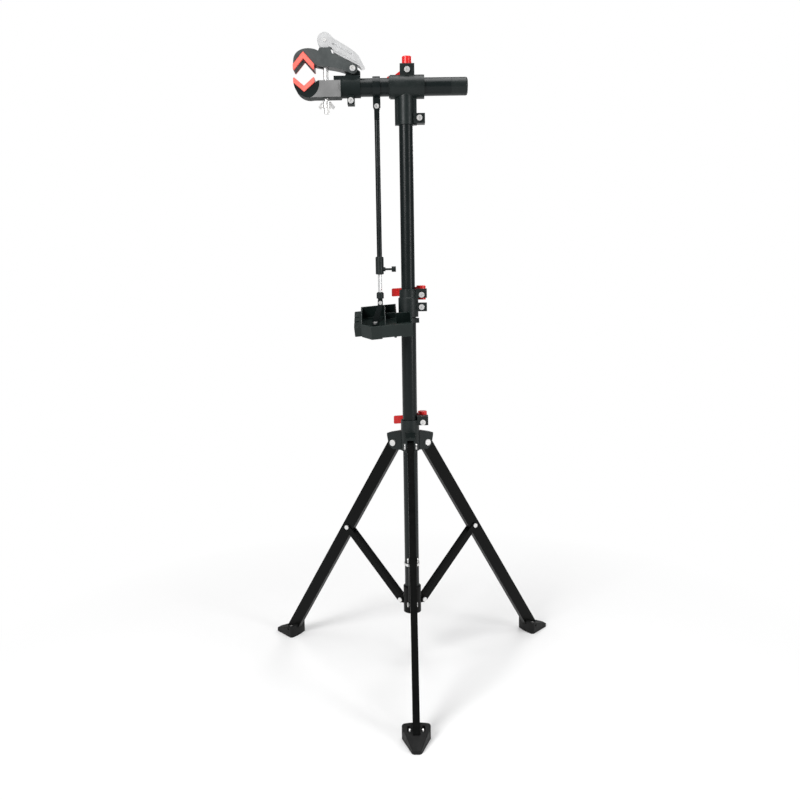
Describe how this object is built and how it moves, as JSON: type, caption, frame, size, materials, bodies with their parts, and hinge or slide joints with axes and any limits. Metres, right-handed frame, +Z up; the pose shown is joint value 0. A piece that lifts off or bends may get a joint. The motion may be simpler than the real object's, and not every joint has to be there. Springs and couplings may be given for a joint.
{
  "type": "bicycle repair stand",
  "caption": "Folding tripod repair stand: telescopic mast, swivelling arm with a cam clamp and padded jaws, and a tool tray hung on a telescopic rod.",
  "frame": {"origin": "on the floor, on the mast's axis", "axes": "+Z up along the mast, the arm along X with its jaws at -X, the front leg towards -Y"},
  "size_m": [0.7358, 0.6391, 1.4995],
  "materials": {
    "mast_paint": "semi-gloss black powder coat",
    "black_plastic": "moulded, lightly textured",
    "jaw_plastic": "moulded satin dark grey",
    "foot_rubber": "matt black rubber",
    "red_plastic": "gloss red",
    "red_rubber": "soft matt red",
    "zinc": "bright zinc plate",
    "chrome": "polished"
  },
  "bodies": {
    "post": {"mid_tube": "mast_paint", "height_collar": "black_plastic", "height_pinch_bolt": "zinc", "height_release_bolt": "zinc", "stop_ring": "zinc", "bottom_collar": "black_plastic", "ear_pins": "zinc"},
    "height_lever": {"height_lever": "red_plastic"},
    "bush": {"collar_bush": "black_plastic"},
    "mast": {"upper_tube": "mast_paint", "upper_tube_plug": "black_plastic", "tee_body": "black_plastic", "stem_pinch_bolt": "zinc", "tee_release_bolt": "zinc", "hanger_strap": "mast_paint", "hanger_bolt": "zinc", "outer_rod": "mast_paint", "rod_coupling": "black_plastic"},
    "tee_lever": {"tee_lever": "red_plastic"},
    "thumb_screw": {"thumb_screw": "black_plastic"},
    "liner": {"arm_liner": "black_plastic"},
    "arm": {"arm_tube": "mast_paint", "arm_end_cap": "black_plastic", "lower_jaw": "jaw_plastic", "head_pinch_bolt": "zinc", "lower_pad": "red_rubber", "jaw_pivot_bolt": "zinc"},
    "upper_jaw": {"upper_jaw": "jaw_plastic", "upper_pad": "red_rubber"},
    "stud": {"clamp_stud": "zinc", "cam_pin": "zinc"},
    "cam_lever": {"cam_lever": "chrome"},
    "wing_nut": {"wing_nut": "zinc"},
    "tray": {"tray_body": "black_plastic", "tray_ring": "black_plastic", "end_bracket": "mast_paint", "rod_end_pin": "zinc", "bracket_bolts": "zinc", "inner_rod": "chrome", "rod_end": "black_plastic"},
    "hub": {"hub_body": "black_plastic", "hub_pivot_bolts": "zinc", "hub_release_bolt": "zinc"},
    "hub_lever": {"hub_lever": "red_plastic"},
    "leg_front": {"leg_front": "mast_paint", "foot_front": "foot_rubber", "foot_bolt_front": "zinc"},
    "brace_front": {"brace_front": "mast_paint", "brace_rivets_front": "zinc"},
    "leg_right": {"leg_right": "mast_paint", "foot_right": "foot_rubber", "foot_bolt_right": "zinc"},
    "brace_right": {"brace_right": "mast_paint", "brace_rivets_right": "zinc"},
    "leg_left": {"leg_left": "mast_paint", "foot_left": "foot_rubber", "foot_bolt_left": "zinc"},
    "brace_left": {"brace_left": "mast_paint", "brace_rivets_left": "zinc"}
  },
  "joints": [
    {"name": "hub_slide", "type": "slide", "parent": "post", "child": "hub", "axis": [0, 0, 1], "range_m": [0, 0.0993]},
    {"name": "leg_front_fold", "type": "hinge", "parent": "hub", "child": "leg_front", "pos_m": [0, -0.0413, 0.556], "axis": [-1, 0, 0], "range_deg": [-29.21, 0.01]},
    {"name": "brace_front_fold", "type": "hinge", "parent": "post", "child": "brace_front", "pos_m": [0, -0.029, 0.16], "axis": [-1, 0, 0], "range_deg": [-0.01, 37.29]},
    {"name": "leg_right_fold", "type": "hinge", "parent": "hub", "child": "leg_right", "pos_m": [0.03577, 0.02065, 0.556], "axis": [0.5, -0.866, 0], "range_deg": [-29.21, 0.01]},
    {"name": "brace_right_fold", "type": "hinge", "parent": "post", "child": "brace_right", "pos_m": [0.02511, 0.0145, 0.16], "axis": [0.5, -0.866, 0], "range_deg": [-0.01, 37.29]},
    {"name": "leg_left_fold", "type": "hinge", "parent": "hub", "child": "leg_left", "pos_m": [-0.03577, 0.02065, 0.556], "axis": [0.5, 0.866, 0], "range_deg": [-29.21, 0.01]},
    {"name": "brace_left_fold", "type": "hinge", "parent": "post", "child": "brace_left", "pos_m": [-0.02511, 0.0145, 0.16], "axis": [0.5, 0.866, 0], "range_deg": [-0.01, 37.29]},
    {"name": "mast_swivel", "type": "hinge", "parent": "post", "child": "bush", "pos_m": [0, 0, 0.913], "axis": [0, 0, 1], "range_deg": [-40, 40]},
    {"name": "mast_slide", "type": "slide", "parent": "bush", "child": "mast", "axis": [0, 0, 1], "range_m": [-0.035, 0.25]},
    {"name": "tray_swivel", "type": "hinge", "parent": "post", "child": "tray", "pos_m": [0, 0, 0.852], "axis": [0, 0, 1], "range_deg": [-40.01, 40.01]},
    {"name": "height_lever_open", "type": "hinge", "parent": "post", "child": "height_lever", "pos_m": [0.031, 0.027, 0.9115], "axis": [0, 0, 1], "range_deg": [-120, 0]},
    {"name": "hub_lever_open", "type": "hinge", "parent": "hub", "child": "hub_lever", "pos_m": [0.031, 0.027, 0.609], "axis": [0, 0, 1], "range_deg": [-120, 0]},
    {"name": "tee_lever_open", "type": "hinge", "parent": "mast", "child": "tee_lever", "pos_m": [0.004, 0.027, 1.416], "axis": [0, 0, 1], "range_deg": [-120, 0]},
    {"name": "arm_spin", "type": "hinge", "parent": "mast", "child": "liner", "pos_m": [0, 0, 1.381], "axis": [1, 0, 0], "continuous": true},
    {"name": "arm_slide", "type": "slide", "parent": "liner", "child": "arm", "axis": [1, 0, 0], "range_m": [-0.09, 0.012]},
    {"name": "jaw_open", "type": "hinge", "parent": "arm", "child": "upper_jaw", "pos_m": [-0.1185, 0, 1.419], "axis": [0, 1, 0], "range_deg": [0, 6]},
    {"name": "stud_lift", "type": "slide", "parent": "arm", "child": "stud", "axis": [0, 0, 1], "range_m": [-0.00001, 0.00996]},
    {"name": "cam_lever_open", "type": "hinge", "parent": "stud", "child": "cam_lever", "pos_m": [-0.18, 0, 1.4825], "axis": [0, -1, 0], "range_deg": [0, 120]},
    {"name": "wing_nut_spin", "type": "hinge", "parent": "arm", "child": "wing_nut", "pos_m": [-0.18, 0, 1.345], "axis": [0, 0, 1], "continuous": true},
    {"name": "thumb_screw_spin", "type": "hinge", "parent": "mast", "child": "thumb_screw", "pos_m": [-0.05, 0, 0.972], "axis": [1, 0, 0], "continuous": true}
  ],
  "couplings": [
    {"joint": "leg_front_fold", "follows": "hub_slide", "rad_per_m": -5.1323},
    {"joint": "brace_front_fold", "follows": "hub_slide", "rad_per_m": 6.5512},
    {"joint": "leg_right_fold", "follows": "hub_slide", "rad_per_m": -5.1323},
    {"joint": "brace_right_fold", "follows": "hub_slide", "rad_per_m": 6.5512},
    {"joint": "leg_left_fold", "follows": "hub_slide", "rad_per_m": -5.1323},
    {"joint": "brace_left_fold", "follows": "hub_slide", "rad_per_m": 6.5512},
    {"joint": "tray_swivel", "follows": "mast_swivel", "ratio": 1},
    {"joint": "stud_lift", "follows": "jaw_open", "m_per_rad": 0.095}
  ]
}
